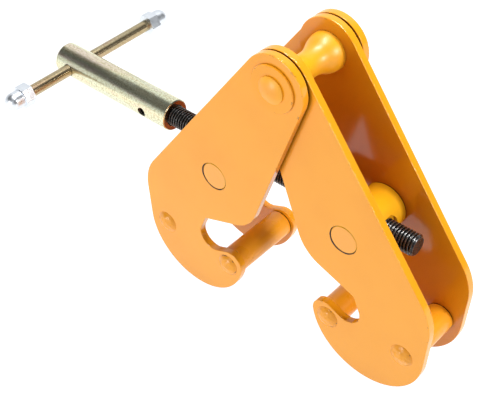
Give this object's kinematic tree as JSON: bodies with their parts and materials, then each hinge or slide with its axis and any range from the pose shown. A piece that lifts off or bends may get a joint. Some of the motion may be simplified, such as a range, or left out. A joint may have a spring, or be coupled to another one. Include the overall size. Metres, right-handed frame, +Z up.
{
  "type": "beam clamp",
  "caption": "Screw-operated beam clamp: two hooked twin-plate jaws on a waisted load bar grip an I-beam's flange to give a lifting point.",
  "frame": {"origin": "middle of the load bar, on the axis that both jaws swing about", "axes": "+X along the screw, from the T-handle to the screw's free end; +Y along the load bar, from the pictured side to the far side; +Z up, away from the beam flange"},
  "size_m": [0.3969, 0.1816, 0.2566],
  "materials": {
    "jaw_paint": "satin orange-yellow enamel",
    "yellow_zinc": "drawn steel, yellow passivated zinc",
    "black_oxide": "black oxide",
    "bright_zinc": "bright zinc"
  },
  "bodies": {
    "load_bar": {"load_bar": "jaw_paint", "load_bar_washer_front": "jaw_paint", "load_bar_washer_rear": "jaw_paint"},
    "outer_jaw": {"outer_jaw_plate_front": "jaw_paint", "outer_jaw_plate_rear": "jaw_paint", "outer_jaw_tip_bar": "jaw_paint", "outer_jaw_heel_bar": "jaw_paint"},
    "inner_jaw": {"inner_jaw_plate_front": "jaw_paint", "inner_jaw_plate_rear": "jaw_paint", "inner_jaw_tip_bar": "jaw_paint", "inner_jaw_heel_bar": "jaw_paint"},
    "outer_nut": {"outer_trunnion_nut": "jaw_paint"},
    "inner_nut": {"inner_trunnion_nut": "jaw_paint"},
    "screw": {"screw": "black_oxide", "handle_tube": "yellow_zinc", "roll_pin": "black_oxide"},
    "tommy_bar": {"tommy_bar": "yellow_zinc", "acorn_nut_front": "bright_zinc", "acorn_nut_rear": "bright_zinc"}
  },
  "joints": [
    {"name": "screw_turn", "type": "hinge", "parent": "inner_nut", "child": "screw", "pos_m": [0.05726, 0, -0.10546], "axis": [-1, 0, 0], "range_deg": [-2340, 3780]},
    {"name": "outer_jaw_swing", "type": "hinge", "parent": "load_bar", "child": "outer_jaw", "pos_m": [0, 0, 0], "axis": [0, 1, 0], "range_deg": [-9.2, 14.8]},
    {"name": "inner_jaw_swing", "type": "hinge", "parent": "load_bar", "child": "inner_jaw", "pos_m": [0, 0, 0], "axis": [0, 1, 0], "range_deg": [-14.8, 9.2]},
    {"name": "outer_nut_swivel", "type": "hinge", "parent": "outer_jaw", "child": "outer_nut", "pos_m": [-0.05726, 0, -0.10546], "axis": [0, 1, 0], "range_deg": [-14.8, 9.2]},
    {"name": "inner_nut_swivel", "type": "hinge", "parent": "inner_jaw", "child": "inner_nut", "pos_m": [0.05726, 0, -0.10546], "axis": [0, 1, 0], "range_deg": [-9.2, 14.8]},
    {"name": "tommy_bar_slide", "type": "slide", "parent": "screw", "child": "tommy_bar", "axis": [0, 1, 0], "range_m": [-0.0655, 0.042]}
  ],
  "couplings": [
    {"joint": "outer_jaw_swing", "follows": "screw_turn", "ratio": 0.00391},
    {"joint": "inner_jaw_swing", "follows": "screw_turn", "ratio": -0.00391},
    {"joint": "outer_nut_swivel", "follows": "screw_turn", "ratio": -0.00391},
    {"joint": "inner_nut_swivel", "follows": "screw_turn", "ratio": 0.00391}
  ]
}
